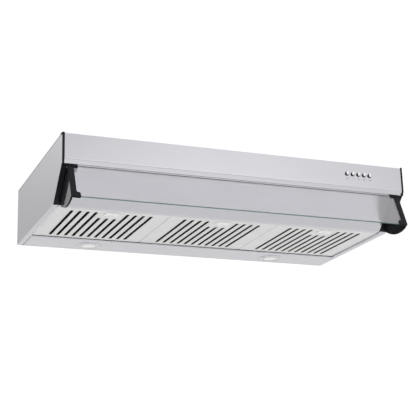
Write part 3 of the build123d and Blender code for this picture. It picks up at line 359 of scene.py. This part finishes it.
DIAMOND = (16 * MM, 8 * MM)   # a diamond of the expanded mesh, along X and Y
STRAND = (1.3 * MM, 0.9 * MM) # a strand's width and thickness
MESH_RIM = 4 * MM
MESH_CLEAR = 0.3 * MM         # between the mesh and the latch's case
MARK_DROP = 12.3 * MM         # a mark's middle, below its button's
MARK_SIZE = 1.8 * MM          # a mark's radius
MARK_LINE = 0.7 * MM
MARK_PRINT = 0.04 * MM        # thickness of the print
RING_SIDES = 24
SUN_CORE = 0.4                # the sun's ring and the two ends of its rays, in mark radii
SUN_RAYS = (0.75, 1.1)
SUN_RAY_COUNT = 8


class Builder:
    """Collects bars and strands into one mesh."""

    def __init__(self):
        self.vertices, self.faces = [], []

    def rings(self, rings):
        """A closed bar through rings of corners, with its two ends capped."""
        base, count = len(self.vertices), len(rings[0])
        for ring in rings:
            self.vertices.extend(ring)
        for k in range(len(rings) - 1):
            for i in range(count):
                j = (i + 1) % count
                a, b = base + k * count, base + (k + 1) * count
                self.faces.append((a + i, a + j, b + j, b + i))
        self.faces.append(tuple(base + i for i in reversed(range(count))))
        last = base + (len(rings) - 1) * count
        self.faces.append(tuple(last + i for i in range(count)))

    def bar(self, x, y, z):
        """A box between three pairs of limits."""
        self.rings([[(e, y[0], z[0]), (e, y[1], z[0]), (e, y[1], z[1]), (e, y[0], z[1])] for e in x])

    def finish(self, name, material, body):
        mesh = bpy.data.meshes.new(name)
        mesh.from_pydata(self.vertices, [], self.faces)
        mesh.materials.append(material)
        piece = bpy.data.objects.new(name, mesh)
        bpy.context.collection.objects.link(piece)
        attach(piece, body)
        return piece


def expanded_mesh(side, material):
    """Expanded metal in a flat rim: zigzag strands that meet where they turn."""
    node = f"{side}_filter_mesh"
    low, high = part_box(node)
    case_low, case_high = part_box(f"{side}_latch_case")
    notch = (case_low.x - MESH_CLEAR, case_high.x + MESH_CLEAR)
    notch_back = case_high.y + MESH_CLEAR
    z = (low.z, high.z)
    build = Builder()
    build.bar((low.x, low.x + MESH_RIM), (low.y, high.y), z)
    build.bar((high.x - MESH_RIM, high.x), (low.y, high.y), z)
    build.bar((low.x, high.x), (high.y - MESH_RIM, high.y), z)
    build.bar((low.x, notch[0]), (low.y, low.y + MESH_RIM), z)
    build.bar((notch[1], high.x), (low.y, low.y + MESH_RIM), z)
    build.bar((notch[0] - MESH_RIM, notch[0]), (low.y, notch_back), z)
    build.bar((notch[1], notch[1] + MESH_RIM), (low.y, notch_back), z)
    build.bar((notch[0] - MESH_RIM, notch[1] + MESH_RIM), (notch_back, notch_back + MESH_RIM), z)
    width, thick = STRAND[0] / 2, STRAND[1] / 2
    middle = (low.z + high.z) / 2
    inset = MESH_RIM / 2
    columns = int((high.x - low.x - 2 * inset) / (DIAMOND[0] / 2))
    rows = int((high.y - low.y - 2 * inset) / (DIAMOND[1] / 2))
    for row in range(rows + 1):
        strand = []
        for column in range(columns + 1):
            x = low.x + inset + column * DIAMOND[0] / 2
            y = low.y + inset + row * DIAMOND[1] / 2
            y += DIAMOND[1] / 4 * (1 if (row + column) % 2 else -1)
            y = min(max(y, low.y + inset), high.y - inset)
            inside = notch[0] - inset < x < notch[1] + inset and y < notch_back + inset
            if not inside:
                ring = [(-width, -thick), (width, -thick), (width, thick), (-width, thick)]
                strand.append([(x, y + across, middle + up) for across, up in ring])
            if strand and (inside or column == columns):
                if len(strand) > 1:
                    build.rings(strand)
                strand = []
    piece = build.finish(f"{side}_expanded_mesh", material, f"{side}_filter")
    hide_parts(node)


def button_marks():
    """Plain printed marks below the buttons: a ring, one to three bars, and a small sun."""
    build = Builder()
    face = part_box("front_fascia")[0].y
    y = (face - MARK_PRINT, face)

    def line(x, z, angle, start, end):
        """A printed line from start to end along a ray at an angle from (x, z)."""
        along = Vector((math.cos(angle), math.sin(angle)))
        across = Vector((-along.y, along.x)) * MARK_LINE / 2
        middle = Vector((x, z))
        corners = [middle + along * start - across, middle + along * end - across]
        corners += [middle + along * end + across, middle + along * start + across]
        build.rings([[(c.x, depth, c.y) for c in corners] for depth in y])

    def ring(x, z, radius):
        """A printed ring of short lines that overlap a little at their ends."""
        reach = math.pi * radius / RING_SIDES * 1.1
        for k in range(RING_SIDES):
            angle = 2 * math.pi * k / RING_SIDES
            spot = (x + radius * math.cos(angle), z + radius * math.sin(angle))
            line(*spot, angle + math.pi / 2, -reach, reach)

    for name in ("off", "speed_1", "speed_2", "speed_3", "light"):
        low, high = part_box(f"{name}_button")
        x, z = (low.x + high.x) / 2, (low.z + high.z) / 2 - MARK_DROP
        if name == "off":
            ring(x, z, MARK_SIZE - MARK_LINE / 2)
        elif name == "light":
            ring(x, z, MARK_SIZE * SUN_CORE)
            for k in range(SUN_RAY_COUNT):
                angle = 2 * math.pi * k / SUN_RAY_COUNT
                line(x, z, angle, MARK_SIZE * SUN_RAYS[0], MARK_SIZE * SUN_RAYS[1])
        else:
            count = int(name[-1])
            for k in range(count):
                shift = (k - (count - 1) / 2) * 2 * MARK_LINE
                line(x + shift, z, math.pi / 2, -MARK_SIZE, MARK_SIZE)
    build.finish("button_marks", printed_grey(), "hood")


# ---------------------------------------------------------------- studio

FLOOR_Z = -1.45
FLOOR_RADIUS = 7.0
FLOOR_FADE = (4.8, 6.8)       # where the floor starts and ends to fade into the white
FLOOR_GLOW = 0.4              # glow of the floor where it is all white
FLOOR_SIDES = 64
CAMERA_AT = Vector((-1.03896, -2.57342, -0.89671))
CAMERA_AZIMUTH = math.radians(-22.01)
CAMERA_ELEVATION = math.radians(-16.43)
CAMERA_ROLL = math.radians(-1.62)
CAMERA_LENS = 95.65           # for a sensor 36 wide


def make_camera():
    """A long lens, low and to the left, looking up into the hood."""
    level = math.cos(CAMERA_ELEVATION)
    back = Vector((
        math.sin(CAMERA_AZIMUTH) * level,
        -math.cos(CAMERA_AZIMUTH) * level,
        math.sin(CAMERA_ELEVATION),
    ))
    right = Vector((0, 0, 1)).cross(back).normalized()
    turn = Matrix.Rotation(CAMERA_ROLL, 3, back) @ Matrix((right, back.cross(right), back)).transposed()
    camera = bpy.data.objects.new("camera", bpy.data.cameras.new("camera"))
    camera.data.lens = CAMERA_LENS
    camera.data.sensor_width = 36
    camera.data.clip_end = 50
    camera.matrix_world = Matrix.Translation(CAMERA_AT) @ turn.to_4x4()
    bpy.context.collection.objects.link(camera)
    bpy.context.scene.camera = camera


def make_floor():
    """A plain pale floor, well below the hood, that fades into the white around it."""
    mesh = bpy.data.meshes.new("floor")
    turns = [2 * math.pi * k / FLOOR_SIDES for k in range(FLOOR_SIDES)]
    rim = [(FLOOR_RADIUS * math.cos(a), FLOOR_RADIUS * math.sin(a), FLOOR_Z) for a in turns]
    mesh.from_pydata(rim, [], [tuple(range(len(rim)))])
    g = Graph("floor", roughness=0.8)
    g.set(base_color=g.tint(g.noise((2.0, 2.0, 2.0)), *FLOOR_PALE))
    reach = g.add("ShaderNodeVectorMath", [(0, g.points)], operation="LENGTH").outputs["Value"]
    g.set(emission_color=(1.0, 1.0, 1.0), emission_strength=g.spread(reach, *FLOOR_FADE, 0.0, FLOOR_GLOW))
    mesh.materials.append(g.material)
    floor = bpy.data.objects.new("floor", mesh)
    bpy.context.collection.objects.link(floor)


GLOWS = (
    # direction, reach in degrees (full, none), strength: what each soft light or dark flag adds
    ((0.366, -0.917, 0.160), (0, 15), 0.80),
    ((0.359, -0.442, 0.821), (18, 30), 1.7),
    ((-0.324, 0.803, 0.500), (0, 16), 0.60),
    ((0.889, 0.359, 0.283), (8, 45), 0.80),
    ((-0.900, -0.360, 0.280), (12, 42), -0.50),
)
SKY = (0.56, 0.68)            # strength behind the hood and in front of it
SKY_FRONT = (0.3, -1.0, 0.0)  # the direction in which the plain dome is brightest
BACKDROP = 1.05               # strength of what the camera sees behind the hood


def make_world():
    """A white studio: a plain dome, brighter in front, with soft boxes and a dark flag."""
    world = bpy.data.worlds.new("studio")
    world.use_nodes = True
    nodes, links = world.node_tree.nodes, world.node_tree.links
    direction = nodes.new("ShaderNodeTexCoord").outputs["Generated"]

    def toward(aim, near, far, low, high):
        """A strength from low to high as a ray's direction turns from far degrees off aim to near."""
        facing = nodes.new("ShaderNodeVectorMath")
        facing.operation = "DOT_PRODUCT"
        links.new(direction, facing.inputs[0])
        facing.inputs[1].default_value = Vector(aim).normalized()
        level = nodes.new("ShaderNodeMapRange")
        links.new(facing.outputs["Value"], level.inputs["Value"])
        level.inputs["From Min"].default_value = math.cos(math.radians(far))
        level.inputs["From Max"].default_value = math.cos(math.radians(near))
        level.inputs["To Min"].default_value = low
        level.inputs["To Max"].default_value = high
        return level.outputs[0]

    total = toward(SKY_FRONT, 0, 180, *SKY)
    for aim, (near, far), strength in GLOWS:
        add = nodes.new("ShaderNodeMath")
        links.new(total, add.inputs[0])
        links.new(toward(aim, near, far, 0.0, strength), add.inputs[1])
        total = add.outputs[0]
    seen = nodes.new("ShaderNodeLightPath").outputs["Is Camera Ray"]
    pick = nodes.new("ShaderNodeMix")
    links.new(seen, pick.inputs["Factor"])
    links.new(total, pick.inputs["A"])
    pick.inputs["B"].default_value = BACKDROP
    links.new(pick.outputs["Result"], nodes["Background"].inputs["Strength"])
    nodes["Background"].inputs["Color"].default_value = (1, 1, 1, 1)
    bpy.context.scene.world = world


LAMP_AT = (0.55, -1.9, 1.2)
LAMP_SIZE = (1.6, 1.2)
LAMP_SPREAD = math.radians(70)
LAMP_WATTS = 4


def make_lights():
    """A soft light straight down on the floor in front, which lights the hood from below."""
    light = bpy.data.lights.new("floor_light", "AREA")
    light.shape = "RECTANGLE"
    light.size, light.size_y = LAMP_SIZE
    light.spread = LAMP_SPREAD
    light.energy = LAMP_WATTS
    lamp = bpy.data.objects.new("floor_light", light)
    lamp.location = LAMP_AT
    bpy.context.collection.objects.link(lamp)


make_camera()
make_floor()
make_world()
make_lights()
bpy.context.scene.view_settings.view_transform = "Standard"
looks = dress_nodes()
for side in ("left", "middle", "right"):
    expanded_mesh(side, looks["mesh"])
button_marks()
